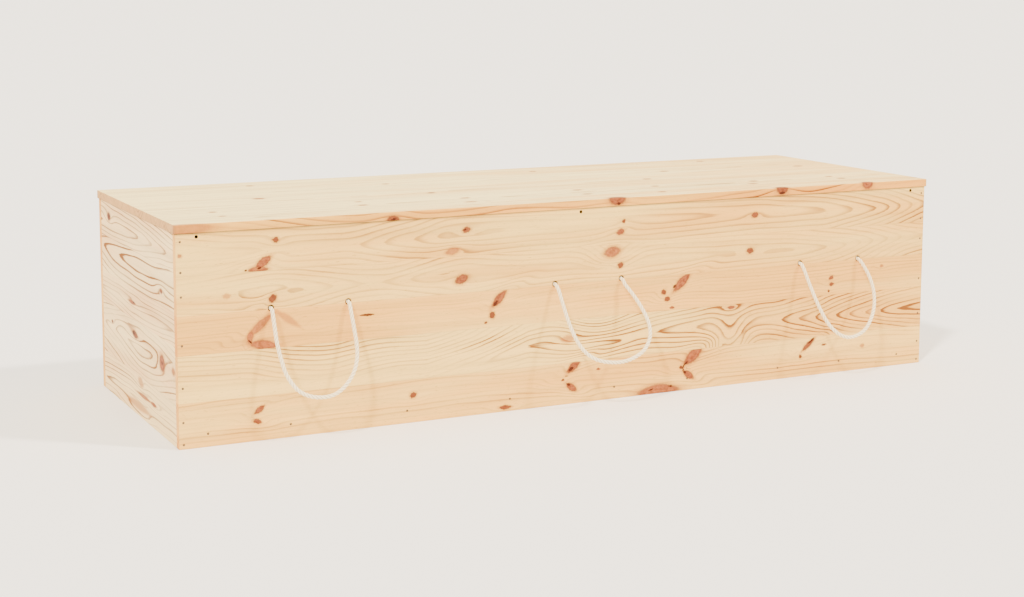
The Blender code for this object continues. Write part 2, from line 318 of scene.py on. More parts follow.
FRONT_EDGES = (0.0, 100.0, 204.0, 290.0, 376.0, 468.0)
FRONT_STRIPS = strips_between(
    FRONT_EDGES,
    (
        (-60, 11.0, 0.70, 0.62, ((-1000, 3.0), (-400, 3.4), (300, 3.0), (1000, 3.8))),
        (
            ((-1000, 92), (-420, 96), (-160, 150), (1000, 152)), 10.0,
            (
                (-1000, 0.6), (-840, 0.6), (-760, 1.2), (-450, 1.2), (-190, 1.9), (60, 2.2), (220, 1.5),
                (420, 1.9), (1000, 2.0),
            ),
            ((-1000, 0.05), (200, 0.12), (500, 0.75), (1000, 0.9)),
            (
                (-1000, 13.0), (-845, 13.4), (-790, 14.6), (-720, 16.2), (-660, 16.8), (-610, 16.2),
                (-565, 15.2), (-500, 14.6), (-400, 14.9), (-280, 14.2), (-186, 13.15),
                (-120, 12.3), (-55, 11.9), (30, 12.3), (110, 13.1), (150, 13.3), (191, 13.0),
                (304, 12.0), (352, 11.0), (405, 10.6), (551, 10.0),
                (589, 9.0), (660, 8.0), (690, 7.0), (731, 6.0), (780, 5.0), (847, 4.0),
                (885, 3.0), (949, 2.0), (1000, 1.3),
            ),
        ),
        (
            120, 8.5, ((-1000, 0.4), (0, 0.5), (1000, 0.55)), 0.80,
            ((-1000, 3.0), (-500, 3.7), (0, 2.8), (500, 3.5), (1000, 4.2)),
        ),
        (
            334, 11.0, ((-1000, 0.8), (-860, 1.2), (-640, 1.2), (0, 0.8), (300, 0.9), (1000, 0.9)), 0.50,
            (
                (-1000, 2.0), (-850, 0.7), (-790, 0.3), (-730, 0.9), (-600, 3.0), (-530, 3.3),
                (-497, 3.0), (-445, 2.0), (-389, 1.0), (-332, 0.4), (-270, 0.9), (-150, 1.6),
                (100, 2.2), (400, 2.6), (589, 3.0), (682, 4.0), (757, 5.0), (806, 6.0),
                (847, 7.0), (889, 8.0), (922, 9.0), (982, 10.0), (1000, 10.3),
            ),
        ),
        (
            424, 12.0, ((-1000, 0.6), (-420, 1.0), (-240, 1.0), (0, 0.7), (400, 0.8), (1000, 1.0)), 0.50,
            (
                (-1000, 3.0), (-711, 4.0), (-600, 4.2), (-516, 3.0), (-426, 2.0), (-389, 1.0),
                (-340, 0.7), (-254, 1.0), (-60, 1.5), (240, 2.0), (520, 2.4), (690, 3.0),
                (750, 4.0), (815, 5.0), (875, 6.0), (915, 7.0), (960, 8.0), (1000, 9.0),
            ),
        ),
    ),
)
# Each knot is (along, across, half length, half height, tilt in degrees, darkness). Darkness runs
# from 0 to 1. Below 0 the knot is light and fades, and at -1 it hardly shows.
FRONT_KNOTS = (
    (-777, 443, 8, 7, 0, 0.6), (-805, 396, 22, 9, 33, 0.2), (-818, 379, 24, 9, 2, 0.2),
    (-786, 314, 11, 8, 45, 0.6),
    (-816, 256, 38, 8, 40, -0.35), (-808, 213, 36, 10, -8, -0.2),
    (-838, 232, 15, 7, 75, -0.3), (-752, 266, 32, 6, -36, -0.8), (-565, 259, 20, 2.5, 0, 1.5),
    (-320, 436, 11, 7, 10, 0.4), (-355, 389, 18, 8, 10, -0.5), (-332, 322, 18, 11, 20, 0.4),
    (-237, 269, 28, 9, 45, 0.25), (-254, 232, 8, 8, 0, 0.7), (-270, 216, 4, 3, 0, 1.0),
    (-454, 64, 9, 7, 10, 0.6), (-819, 70, 15, 6, 35, 0.35), (-825, 44, 10, 6, -20, 0.4),
    (-38, 91, 26, 9, 40, 0.35), (-68, 60, 3.5, 3, 0, 1.0), (-44, 40, 18, 8, -35, 0.3),
    (-220, 10, 17, 5, 0, 0.5), (-889, 327, 8, 5, 0, -0.8), (-55, 158, 16, 8, 0, -0.75),
    (95, 431, 5, 5, 0, 0.7), (86, 406, 12, 7, 20, 0.15), (64, 359, 24, 13, 8, -0.2),
    (87, 325, 9, 7, 30, 0.55), (260, 270, 33, 10, 42, 0.2),
    (209, 250, 7, 7, 0, 0.7), (220, 232, 8, 6, 0, 0.6), (233, 210, 6, 3, 0, 0.4),
    (405, 196, 12, 4, 0, 0.15), (296, 85, 36, 13, 38, 0.25), (262, 58, 4.5, 4, 0, 1.0),
    (283, 38, 20, 8, -35, 0.3), (198, 5, 66, 17, 0, -0.15), (470, 424, 11, 7, 5, 0.45),
    (458, 335, 11, 8, 5, 0.55), (708, 248, 8, 5, 30, 0.4), (709, 232, 8, 5, 0, 0.6),
    (701, 215, 3, 3, 0, 1.0), (641, 80, 26, 6, 38, 0.5), (617, 52, 4.5, 4.5, 0, 0.8),
    (690, 76, 8, 2.5, 0, 0.8), (868, 268, 5, 4, 0, -0.5), (812, 62, 6, 5, 0, -0.6),
    (29, 77, 6, 2.5, 0, 0.4), (-991, 421, 5, 4, 0, -0.4),
)
# Each spot is a small dark fleck: (along, across, half length, half height, tilt in degrees).
FRONT_SPOTS = (
    (-815, 383, 6, 2, 10), (-846, 380, 4, 1.5, 0), (-838, 222, 6, 2, -50),
    (-46, 84, 9, 4, 40), (-52, 47, 6, 3, -35), (276, 68, 7, 3, 38), (272, 45, 6, 3, -35),
    (239, 262, 7, 3, 45), (-246, 259, 9, 4, 45), (176, 11, 7, 2, 10), (232, 15, 8, 2, -8),
    (650, 90, 12, 3, 38), (-326, 318, 6, 3, 20), (-324, 437, 4, 2.5, 0),
)

END_EDGES = (0.0, 96.0, 222.0, 296.0, 384.0, 468.0)
END_STRIPS = strips_between(
    END_EDGES,
    (
        (30, 10.0, 1.20, 0.10, ((-335, 2.6), (-133, 2.0), (-49, 1.4), (40, 1.7), (335, 3.0))),
        (
            168, 13.0, 1.25, 0.20,
            ((-335, 3.2), (-250, 2.4), (-139, 1.0), (-20, 0.1), (98, 1.0), (200, 2.3), (335, 3.6)),
        ),
        (252, 9.0, 1.30, 0.50, ((-335, 3.0), (37, 2.2), (120, 2.6), (335, 3.4))),
        (
            361, 14.0, 2.40, 0.25,
            ((-335, -0.7), (0, -0.4), (155, 0.15), (230, 0.6), (296, 1.15), (335, 1.6)),
        ),
        (424, 11.0, 1.60, 0.35, ((-335, 1.6), (-151, 0.15), (0, -0.8), (150, -1.4), (335, -1.8))),
    ),
)
END_KNOTS = (
    (239, 435, 16, 10, 0, 0.7), (-215, 327, 12, 5, 0, 0.5), (37, 260, 34, 4, 0, 0.0),
    (17, 188, 27, 8, 5, 0.5), (228, 181, 9, 4, 0, 1.0), (-211, 166, 22, 20, 0, 0.0),
    (-300, 165, 12, 8, 0, -0.5), (-25, 84, 20, 9, 10, -0.8), (-49, 55, 60, 4, 0, -0.3),
    (-133, 55, 25, 4, 0, 0.0), (0, 24, 90, 7, 0, -0.9),
)
END_SPOTS = ((28, 190, 9, 5, 0), (236, 437, 6, 4, 0), (-211, 166, 5, 5, 0), (20, 262, 10, 2, 0))

LID_EDGES = (-338.0, -262.0, -112.0, 48.0, 195.0, 338.0)
LID_STRIPS = strips_between(
    LID_EDGES,
    (
        (
            -300, 14.0, 0.75, 0.50,
            ((-1003, 4.0), (-502, 1.2), (-200, 2.4), (75, 1.2), (549, 3.0), (1003, 6.0)),
        ),
        (-200, 13.0, 0.70, 0.15, ((-1003, 5.0), (-400, 3.0), (62, 1.0), (500, 2.0), (1003, 5.5))),
        (-40, 12.0, 0.65, 0.45, ((-1003, 2.0), (-300, 4.2), (200, 3.0), (600, 1.2), (1003, 2.5))),
        (120, 13.0, 0.70, 0.20, ((-1003, 6.0), (-300, 2.0), (100, 0.8), (474, 2.2), (1003, 6.0))),
        (300, 12.0, 0.60, 0.40, ((-1003, 2.5), (0, 3.5), (1003, 1.5))),
    ),
)
# The faint marks of the lid's top are (along, across, half length, half height, tilt in degrees).
LID_MARKS = (
    (-508, -142, 8, 6, 0), (-520, -202, 10, 7, 0), (-253, -184, 12, 7, 10), (-271, -254, 16, 6, 0),
    (-868, -172, 9, 7, 0), (-868, -245, 8, 6, 0), (62, -160, 12, 8, 0), (47, -240, 14, 7, 0),
    (279, -172, 10, 7, 0), (234, -280, 10, 7, 0), (474, 105, 12, 8, 0), (564, -187, 12, 8, 0),
    (530, -235, 14, 7, 0), (804, -184, 10, 7, 0), (809, -232, 12, 7, 0), (-640, 260, 9, 7, 0),
    (150, 250, 10, 7, 0), (700, 280, 11, 8, 0), (-700, 10, 14, 10, 0), (340, -30, 12, 8, 0),
    (880, 60, 13, 9, 0),
)
LID_MARK_DARKNESS = -0.3
LID_KNOTS = (
    (-985, -347, 70, 14, 0, -0.62), (-502, -357, 17, 11, 0, 0.5), (75, -339, 25, 18, 0, 0.3),
    (549, -339, 19, 17, 0, 0.4), (813, -339, 18, 17, 0, 0.1), (-316, 155, 9, 7, 0, -0.2),
    (-286, -60, 10, 8, 10, 0.3), *((*mark, LID_MARK_DARKNESS) for mark in LID_MARKS),
)
LID_SPOTS = ((-500, -355, 6, 3, 0), (549, -351, 9, 3, 0), (80, -352, 7, 3, 0))


def unseen_figure(edges, reach, seed):
    """Strips, knots and no spots, in keeping, for a panel that the photograph doesn't show."""
    chance = np.random.default_rng(seed)
    rows = []
    knots = []
    for number in range(len(edges) - 1):
        low = edges[number]
        high = edges[number + 1]
        places = np.linspace(-reach, reach, 7)
        rings = np.abs(np.cumsum(chance.uniform(-2.2, 2.6, 7)) + 2.5) + 0.4
        heart = chance.uniform(low - 20.0, high + 20.0)
        spacing = chance.uniform(8.0, 12.0)
        contrast = chance.uniform(0.45, 0.9)
        tone = chance.uniform(0.1, 0.8)
        rows.append((heart, spacing, contrast, tone, tuple(zip(places.tolist(), rings.tolist()))))
        along = -reach + chance.uniform(60.0, 200.0)
        while along < reach - 30.0:
            size = chance.uniform(5.0, 16.0)
            spiky = chance.random() < 0.35
            place = chance.uniform(low + 14.0, high - 14.0)
            tilt = chance.uniform(-40.0, 40.0) if spiky else 0.0
            long = size * (2.0 if spiky else 1.1)
            high_share = 0.55 if spiky else 0.9
            knots.append((along, place, long, size * high_share, tilt, chance.uniform(0.1, 0.8)))
            along += chance.uniform(150.0, 420.0)
    return strips_between(edges, rows), tuple(knots), ()


BLUNTNESS = 0.8
# Where the rings of a strip fade: (strip, along, across, reach along, reach across, amount)
FRONT_CALM = (
    (1, -760, 108, 560, 50, 1.0), (1, -200, 108, 260, 26, 0.6), (2, -680, 262, 160, 36, 0.7),
    (3, -980, 330, 90, 40, 0.5), (4, -720, 400, 200, 30, 0.5), (0, -300, 70, 500, 40, 0.4),
)
# Where the rings of a strip are drawn to its edge, or away from it where the amount is below 0:
# (strip, along, reach along, at the high edge, amount)
FRONT_PINCHES = ((1, 20, 90, False, 0.45), (1, 405, 50, True, -0.6), (3, 64, 60, False, 0.4))
KNOT_LAYERS = 4
KNOT_SPREAD = 1.35
SPOT_DARKNESS = 2.0
# How strongly shade is painted inside the holes
HOLE_SHADE = 1.0
# How strongly shade is painted along the gap between the lid and the rim
LID_GAP_SHADE = 0.6
NOISE_ROWS = 97
NOISE_COLUMNS = 89
# Slow and quick waves of the rings: (amount, length, width, start along, start across, seed step)
RING_WAVES = ((4.6, 210.0, 45.0, 11.0, 5.0, 31), (1.5, 70.0, 14.0, 3.0, 2.0, 57))


def along_strip(pairs, along):
    """The value of (along, value) pairs at each place along a strip."""
    places, values = zip(*pairs)
    return np.interp(along, places, values)


def smooth_noise(first, second, seed):
    """Soft noise from -1 to 1, with one lump to a unit."""
    lattice = np.random.default_rng(seed).uniform(-1.0, 1.0, (NOISE_ROWS, NOISE_COLUMNS))
    cell_a = np.floor(first).astype(int)
    cell_b = np.floor(second).astype(int)
    share_a = first - cell_a
    share_b = second - cell_b
    share_a = share_a * share_a * (3 - 2 * share_a)
    share_b = share_b * share_b * (3 - 2 * share_b)

    def on_line(cells):
        near = lattice[cell_a % NOISE_ROWS, cells % NOISE_COLUMNS]
        far = lattice[(cell_a + 1) % NOISE_ROWS, cells % NOISE_COLUMNS]
        return near * (1 - share_a) + far * share_a

    return on_line(cell_b) * (1 - share_b) + on_line(cell_b + 1) * share_b


def bent_round_knots(knots, strip, along, across):
    """Where each point would lie if the knots hadn't pushed the grain aside, and the rings they add."""
    moved = across.copy()
    added = np.zeros_like(across)
    for knot_along, knot_across, long, high, tilt, _ in knots:
        if not strip["low"] - 25 <= knot_across <= strip["high"] + 2:
            continue
        reach_along = 2.6 * long + 10.0
        reach_across = 1.5 * high + 5.0
        slope = math.tan(math.radians(tilt)) * 0.5
        offset = across - knot_across - slope * (along - knot_along)
        near = np.exp(-(((along - knot_along) / reach_along) ** 2) - (offset / reach_across) ** 2)
        moved -= offset * 0.75 * near
        added += near * min(1.2, 0.05 * (long + high))
    return moved, added


def ring_numbers(strips, knots, pinches, along, across, depth, which, seed):
    """The tree-ring number at each point of a panel."""
    rings = np.zeros_like(along)
    for number, strip in enumerate(strips):
        chosen = which == number
        if not chosen.any():
            continue
        a = along[chosen]
        c = across[chosen]
        d = depth[chosen]
        moved, added = bent_round_knots(knots, strip, a, c)
        for owner, place, reach, upwards, amount in pinches:
            if owner != number:
                continue
            squeeze = 1.0 + amount * np.exp(-(((a - place) / reach) ** 2))
            edge = strip["high"] if upwards else strip["low"]
            moved = edge + (moved - edge) * squeeze
        places = np.array([tip[0] for tip in strip["tips"]], dtype=float)
        counts = np.array([tip[1] for tip in strip["tips"]], dtype=float)
        middle = sum(np.interp(a + shift, places, counts) for shift in (-24, -12, 0, 12, 24)) / 5
        heart = along_strip(strip["heart"], a)
        heart = heart + 9.0 * smooth_noise(a / 260.0 + 7.3, np.full_like(a, 3.7), seed + number)
        sideways = (moved - heart) / strip["spacing"]
        value = middle + d / strip["spacing"] + np.sqrt(sideways**2 + BLUNTNESS**2) + added
        for amount, long, wide, start_a, start_c, step in RING_WAVES:
            wave = smooth_noise(a / long + start_a, c / wide + start_c, seed + step + number)
            value += amount / strip["spacing"] * wave
        rings[chosen] = value
    return rings


def knot_layers(knots):
    """Shares the knots out so that no two of one layer lie close together."""
    layers = [[] for _ in range(KNOT_LAYERS)]

    def reach(knot):
        return KNOT_SPREAD * max(knot[2:4]) + 14.0

    def room(knot, layer):
        gaps = [
            math.hypot(knot[0] - other[0], knot[1] - other[1]) - reach(knot) - reach(other)
            for other in layer
        ]
        return min(gaps, default=1e9)

    for knot in sorted(knots, key=lambda one: -max(one[2:4])):
        rooms = [room(knot, layer) for layer in layers]
        free = [number for number, space in enumerate(rooms) if space > 0.0]
        layers[free[0] if free else int(np.argmax(rooms))].append(knot)
    return layers


def nearest_knot(knots, strips, which, along, across):
    """Each point's place within the nearest knot of its strip, in knot sizes, and 1 where it is near.
    Beside it, the knot's darkness, its size and how far it is a pointed spike."""
    best = np.full(len(along), 1e9)
    local = np.zeros((len(along), 3))
    trait = np.zeros((len(along), 3))
    trait[:, 1] = 10.0
    for knot_along, knot_across, long, high, tilt, dark in knots:
        owner = next((n for n, s in enumerate(strips) if knot_across <= s["high"]), len(strips) - 1)
        step_a = along - knot_along
        step_c = across - knot_across
        distance = np.hypot(step_a, step_c)
        size = max(long, high)
        score = distance - size
        cosine = math.cos(math.radians(tilt))
        sine = math.sin(math.radians(tilt))
        chosen = (which == owner) & (score < best)
        best[chosen] = score[chosen]
        local[chosen, 0] = (step_a[chosen] * cosine + step_c[chosen] * sine) / long
        local[chosen, 1] = (step_c[chosen] * cosine - step_a[chosen] * sine) / high
        local[chosen, 2] = distance[chosen] < KNOT_SPREAD * size + 10.0
        trait[chosen, 0] = dark
        trait[chosen, 1] = math.sqrt(long * high)
        trait[chosen, 2] = min(1.0, max(0.0, (size / min(long, high) - 1.3) / 1.5))
    return local, trait


# Boards


def lines_through(low, high, step, doubled, blocks):
    """Grid lines over a board: a pair at each glue line, an even set across each hole's block."""
    fixed = {round(low, 3), round(high, 3)}
    for place in doubled:
        fixed.add(round(place - 0.15, 3))
        fixed.add(round(place + 0.15, 3))
    for middle, half, cells in blocks:
        for number in range(cells + 1):
            fixed.add(round(middle - half + 2 * half * number / cells, 3))
    fixed = sorted(place for place in fixed if low - 0.002 <= place <= high + 0.002)
    lines = [fixed[0]]
    for place in fixed[1:]:
        gap = place - lines[-1]
        if gap < 0.05:
            continue
        parts = max(1, math.ceil(gap / step - 0.2))
        start = lines[-1]
        lines.extend(start + gap * number / parts for number in range(1, parts + 1))
    return np.array(lines)


def block_loop(first_a, last_a, first_c, last_c, rows):
    """Grid points round a block, anticlockwise."""
    loop = [(i, first_c) for i in range(first_a, last_a)]
    loop += [(last_a, j) for j in range(first_c, last_c)]
    loop += [(i, last_c) for i in range(last_a, first_a, -1)]
    loop += [(first_a, j) for j in range(last_c, first_c, -1)]
    return np.array([i * rows + j for i, j in loop])


def ring_of_quads(outer, inner):
    following = np.roll(outer, -1)
    inner_following = np.roll(inner, -1)
    return np.stack((outer, following, inner_following, inner), axis=1)


def board_shape(size, seams, holes):
    """The points, their strips and the faces of a board with eased edges and its holes cut."""
    span_a, span_c, thickness, arris, steps = size
    low_a = span_a[0] + arris
    high_a = span_a[1] - arris
    low_c = span_c[0] + arris
    high_c = span_c[1] - arris
    blocks_a = [(hole[0], hole[2], hole[3]) for hole in holes]
    blocks_c = [(hole[1], hole[2], hole[3]) for hole in holes]
    lines_a = lines_through(low_a, high_a, steps[0], (), blocks_a)
    lines_c = lines_through(low_c, high_c, steps[1], seams, blocks_c)
    columns = len(lines_a)
    rows = len(lines_c)
    grid_a, grid_c = np.meshgrid(lines_a, lines_c, indexing="ij")
    strip_of = np.searchsorted(np.array(seams), grid_c.ravel())
    points = [
        np.stack((grid_a.ravel(), grid_c.ravel(), np.zeros(columns * rows)), axis=1),
        np.stack((grid_a.ravel(), grid_c.ravel(), np.full(columns * rows, thickness)), axis=1),
    ]
    owners = [strip_of, strip_of]
    count = 2 * columns * rows

    def add_points(new, new_owners):
        nonlocal count
        points.append(new)
        owners.append(new_owners)
        count += len(new)
        return np.arange(count - len(new), count)

    kept_top = np.ones((columns - 1, rows - 1), dtype=bool)
    kept_low = np.ones((columns - 1, rows - 1), dtype=bool)
    quads = []
    triangles = []
    outline = block_loop(0, columns - 1, 0, rows - 1, rows)
    base = points[0][outline]
    push_a = (base[:, 0] > high_a - 0.01).astype(float) - (base[:, 0] < low_a + 0.01)
    push_c = (base[:, 1] > high_c - 0.01).astype(float) - (base[:, 1] < low_c + 0.01)
    levels = [(arris * math.sin(a), arris * (1 - math.cos(a))) for a in np.radians((30, 60, 90))]
    side_rows = np.linspace(arris, thickness - arris, 6)[1:-1]
    levels += [(arris, depth) for depth in side_rows]
    levels += [(out, thickness - depth) for out, depth in reversed(levels[:3])]
    above = outline
    for out, depth in levels:
        shifted = base.copy()
        shifted[:, 0] += push_a * out
        shifted[:, 1] += push_c * out
        shifted[:, 2] = depth
        below = add_points(shifted, strip_of[outline])
        quads.append(ring_of_quads(above, below)[:, ::-1])
        above = below
    quads.append(ring_of_quads(above, outline + columns * rows)[:, ::-1])

    def nearest(lines, place):
        return int(np.argmin(np.abs(lines - place)))

    for middle_a, middle_c, half, _, profile, through in holes:
        first_a = nearest(lines_a, middle_a - half)
        last_a = nearest(lines_a, middle_a + half)
        first_c = nearest(lines_c, middle_c - half)
        last_c = nearest(lines_c, middle_c + half)
        kept_top[first_a:last_a, first_c:last_c] = False
        if through:
            kept_low[first_a:last_a, first_c:last_c] = False
        edge = block_loop(first_a, last_a, first_c, last_c, rows)
        square = points[0][edge]
        owner = strip_of[edge]
        turn = np.arctan2(square[:, 1] - middle_c, square[:, 0] - middle_a)
        direction = np.stack((np.cos(turn), np.sin(turn)), axis=1)
        centre = np.array((middle_a, middle_c))

        def ring_at(radius, depth, share=1.0):
            """A ring of points, the given share of the way from the block's edge to the circle."""
            flat = (centre + direction * radius) * share + square[:, :2] * (1.0 - share)
            return np.column_stack((flat, np.full(len(flat), depth)))

        above = edge
        rings = [ring_at(profile[0][0], 0.0, 0.5)] + [ring_at(*level) for level in profile]
        if through:
            rings.append(ring_at(profile[-1][0], thickness, 0.5))
        for ring in rings:
            below = add_points(ring, owner)
            quads.append(ring_of_quads(above, below))
            above = below
        if through:
            quads.append(ring_of_quads(above, edge + columns * rows))
        else:
            tip = add_points(np.array([[middle_a, middle_c, profile[-1][1]]]), owner[:1])
            following = np.roll(above, -1)
            triangles.append(np.stack((above, following, np.full(len(above), tip[0])), axis=1))

    def face_quads(kept, shift, flipped):
        i, j = np.nonzero(kept)
        corner = i * rows + j + shift
        made = np.stack((corner, corner + rows, corner + rows + 1, corner + 1), axis=1)
        return made[:, ::-1] if flipped else made

    quads.append(face_quads(kept_top, 0, False))
    quads.append(face_quads(kept_low, columns * rows, True))
    quads = np.concatenate(quads)
    triangles = np.concatenate(triangles) if triangles else np.zeros((0, 3), dtype=int)
    points = np.concatenate(points)
    owners = np.concatenate(owners)
    used = np.unique(np.concatenate((quads.ravel(), triangles.ravel())))
    renumbered = np.full(len(points), -1)
    renumbered[used] = np.arange(len(used))
    return points[used], owners[used], renumbered[quads], renumbered[triangles]


def build_board(name, size, figure, holes, place, seed, shade_band, blush=0.0):
    """One board, worked out in millimetres, with its grain written on its points.
    A point's painted shade is above 0 where shade is painted on: within a hole, and along the gap under the
    lid."""
    strips, knots, spots = figure
    seams = [strip["low"] for strip in strips[1:]]
    points, owners, quads, triangles = board_shape(size, seams, holes)
    along, across, depth = points.T
    board = mesh_object(name, place(points / MM), quads, triangles)
    pinches = FRONT_PINCHES if strips is FRONT_STRIPS else ()
    rings = ring_numbers(strips, knots, pinches, along, across, depth, owners, seed)
    low_c, high_c = size[1]
    arris = size[3]
    unfolded = np.where(across < low_c + arris - 0.01, low_c - depth, across)
    unfolded = np.where(across > high_c - arris + 0.01, high_c + depth, unfolded)
    marks = [*knots, *((*spot, SPOT_DARKNESS) for spot in spots)]
    for number, layer in enumerate(knot_layers(marks)):
        local, trait = nearest_knot(layer, strips, owners, along, unfolded)
        write_on_points(board, f"knot_{number}", local)
        write_on_points(board, f"trait_{number}", trait)
    seam = np.full(len(along), 6.0)
    for line in seams:
        seam = np.minimum(seam, np.abs(across - line))
    contrast = np.zeros(len(along))
    tone = blush * along / MM
    for number, strip in enumerate(strips):
        chosen = owners == number
        contrast[chosen] = along_strip(strip["contrast"], along[chosen])
        tone[chosen] += along_strip(strip["tone"], along[chosen])
    calm = FRONT_CALM if strips is FRONT_STRIPS else ()
    for owner, middle_a, middle_c, reach_a, reach_c, amount in calm:
        near = np.exp(-(((along - middle_a) / reach_a) ** 2) - ((across - middle_c) / reach_c) ** 2)
        contrast *= 1.0 - amount * near * (owners == owner)
    # Painted shade inside each hole
    painted_shade = np.zeros(len(along))
    for hole in holes:
        within = np.hypot(along - hole[0], across - hole[1]) < hole[4][0][0] + 0.05
        painted_shade[within & (depth > 0.05)] = HOLE_SHADE
    # Painted shade along the gap under the lid
    painted_shade[shade_band(across, depth)] = LID_GAP_SHADE
    write_on_points(board, "painted_shade", painted_shade)
    write_on_points(board, "strip", owners)
    write_on_points(board, "rings", rings)
    write_on_points(board, "look", np.stack((contrast, tone, seam), axis=1))
    return board


# Each kind of hole: half the width of the square block round it, the cells along that block's edge,
# its (radius, depth) levels, and whether it goes through.
ROPE_HOLE = (12.0, 6, ((7.4, 0.0), (6.9, 0.6), (6.9, 10.0), (6.9, 19.4), (7.4, 20.0)), True)
PEG_HOLE = (5.6, 4, ((4.1, 0.0), (3.8, 0.3), (3.8, 10.0), (3.8, 19.7), (4.1, 20.0)), True)
NAIL_HOLE = (6.0, 4, ((2.6, 0.0), (2.5, 0.2), (2.5, 2.0)), False)


def side_holes():
    """Every hole of a long side: (along, height, then its kind)."""
    spans = (-HANDLE_HALF_SPAN, HANDLE_HALF_SPAN)
    ropes = [(centre + along, ROPE_HOLE_HEIGHT) for centre in HANDLE_CENTRES for along in spans]
    ends = (-CORNER_NAIL_X, CORNER_NAIL_X)
    corner_nails = [(along, height) for along in ends for height in CORNER_NAIL_HEIGHTS]
    foot_nails = [(along, BOTTOM_NAIL_HEIGHT) for along in BOTTOM_NAIL_X]
    kinds = ((ropes, ROPE_HOLE), (PEG_PLACES, PEG_HOLE), (corner_nails + foot_nails, NAIL_HOLE))
    return [(along * MM, height * MM, *kind) for places, kind in kinds for along, height in places]


def placed(axis_along, axis_across, axis_depth, start):
    """A function from a board's own (along, across, depth) to the frame, in metres."""
    turn = np.array((axis_along, axis_across, axis_depth), dtype=float)
    return lambda points: points @ turn + np.array(start, dtype=float)


def shade_under_lid(across, depth):
    """The rim of a side or an end, where the lid lies on it: a band of painted shade under the lid."""
    return across > RIM * MM - 0.5


def shaded_lid_foot(across, depth):
    """The lowest part of the lid's edge: a band of painted shade over the gap."""
    return depth > LID_THICKNESS * MM - 1.5


def nowhere(across, depth):
    return np.zeros(len(across), dtype=bool)


FRONT_FIGURE = (FRONT_STRIPS, FRONT_KNOTS, FRONT_SPOTS)
END_FIGURE = (END_STRIPS, END_KNOTS, END_SPOTS)
LID_FIGURE = (LID_STRIPS, LID_KNOTS, LID_SPOTS)
ARRIS = 0.8
LID_ARRIS = 1.6
LID_BLUSH = 0.45
BOTTOM_STRIPS = 7


def make_boards():
    inner = (HALF_WIDTH - BOARD - CLEARANCE) * MM
    bottom = (HALF_LENGTH - BOARD - CLEARANCE) * MM
    lid_a = (HALF_LENGTH + LID_OVERHANG) * MM
    lid_c = (HALF_WIDTH + LID_OVERHANG) * MM
    upright = (0.0, RIM * MM)
    # The extent along and across, the thickness, the eased edge, and the grid's steps
    side_size = ((-HALF_LENGTH * MM, HALF_LENGTH * MM), upright, BOARD * MM, ARRIS, (8.0, 6.5))
    end_size = ((-inner, inner), upright, BOARD * MM, ARRIS, (6.0, 5.5))
    bottom_size = ((-bottom, bottom), (-inner, inner), BOARD * MM, ARRIS, (12.0, 9.0))
    lid_size = ((-lid_a, lid_a), (-lid_c, lid_c), LID_THICKNESS * MM, LID_ARRIS, (8.0, 6.5))
    back_figure = unseen_figure(FRONT_EDGES, 1000.0, 11)
    right_figure = unseen_figure(END_EDGES, 335.0, 23)
    bottom_edges = tuple(np.linspace(-inner, inner, BOTTOM_STRIPS + 1).tolist())
    bottom_figure = unseen_figure(bottom_edges, 980.0, 37)
    front = placed((1, 0, 0), (0, 0, 1), (0, 1, 0), (0, -HALF_WIDTH, 0))
    back = placed((1, 0, 0), (0, 0, 1), (0, -1, 0), (0, HALF_WIDTH, 0))
    left = placed((0, 1, 0), (0, 0, 1), (1, 0, 0), (-HALF_LENGTH, 0, 0))
    right = placed((0, 1, 0), (0, 0, 1), (-1, 0, 0), (HALF_LENGTH, 0, 0))
    base = placed((1, 0, 0), (0, 1, 0), (0, 0, -1), (0, 0, BOTTOM_RISE + BOARD))
    top = placed((1, 0, 0), (0, 1, 0), (0, 0, -1), (0, 0, LID_TOP))
    holes = side_holes()
    plans = {
        "side_board_front": ("front_board", side_size, FRONT_FIGURE, holes, front, 101, shade_under_lid),
        "side_board_back": ("back_board", side_size, back_figure, holes, back, 211, shade_under_lid),
        "end_board_left": ("left_end_board", end_size, END_FIGURE, (), left, 307, shade_under_lid),
        "end_board_right": ("right_end_board", end_size, right_figure, (), right, 401, shade_under_lid),
        "bottom_board": ("base_board", bottom_size, bottom_figure, (), base, 503, nowhere),
        "lid_board": ("lid_panel", lid_size, LID_FIGURE, (), top, 601, shaded_lid_foot, LID_BLUSH),
    }
    made = {node: build_board(*plan) for node, plan in plans.items()}
    for node, board in made.items():
        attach(board, "root")
        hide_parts(node)
    return made


boards = make_boards()


# Nails of the row along the foot of each side


NAIL_SIDES = 12
NAIL_LENGTH = 0.0500
# The nail's (radius, depth) levels, between the middle of its head and its point
NAIL_LEVELS = ((0.0016, 0.0), (0.0022, 0.0004), (0.0022, 0.0010), (0.0013, 0.0016), (0.0012, 0.0460))


def nail_piece(name, x, side_sign):
    """A small finishing nail driven into the edge of the bottom board."""
    turns = np.arange(NAIL_SIDES) * 2 * math.pi / NAIL_SIDES
    face = side_sign * (HALF_WIDTH - NAIL_HEAD_BELOW)
    vertices = []
    for radius, depth in NAIL_LEVELS:
        for turn in turns:
            up = BOTTOM_NAIL_HEIGHT + radius * math.sin(turn)
            vertices.append((x + radius * math.cos(turn), face - side_sign * depth, up))
    vertices.append((x, face, BOTTOM_NAIL_HEIGHT))
    vertices.append((x, face - side_sign * NAIL_LENGTH, BOTTOM_NAIL_HEIGHT))
    first = np.arange(NAIL_SIDES)
    starts = [first + level * NAIL_SIDES for level in range(len(NAIL_LEVELS))]
    quads = [ring_of_quads(here, there) for here, there in zip(starts, starts[1:])]
    last = starts[-1]
    head = np.full(NAIL_SIDES, len(vertices) - 2)
    triangles = np.concatenate(
        (
            np.stack((np.roll(first, -1), first, head), axis=1),
            np.stack((last, np.roll(last, -1), head + 1), axis=1),
        )
    )
    nail = mesh_object(name, vertices, np.concatenate(quads), triangles)
    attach(nail, "root")
    return nail


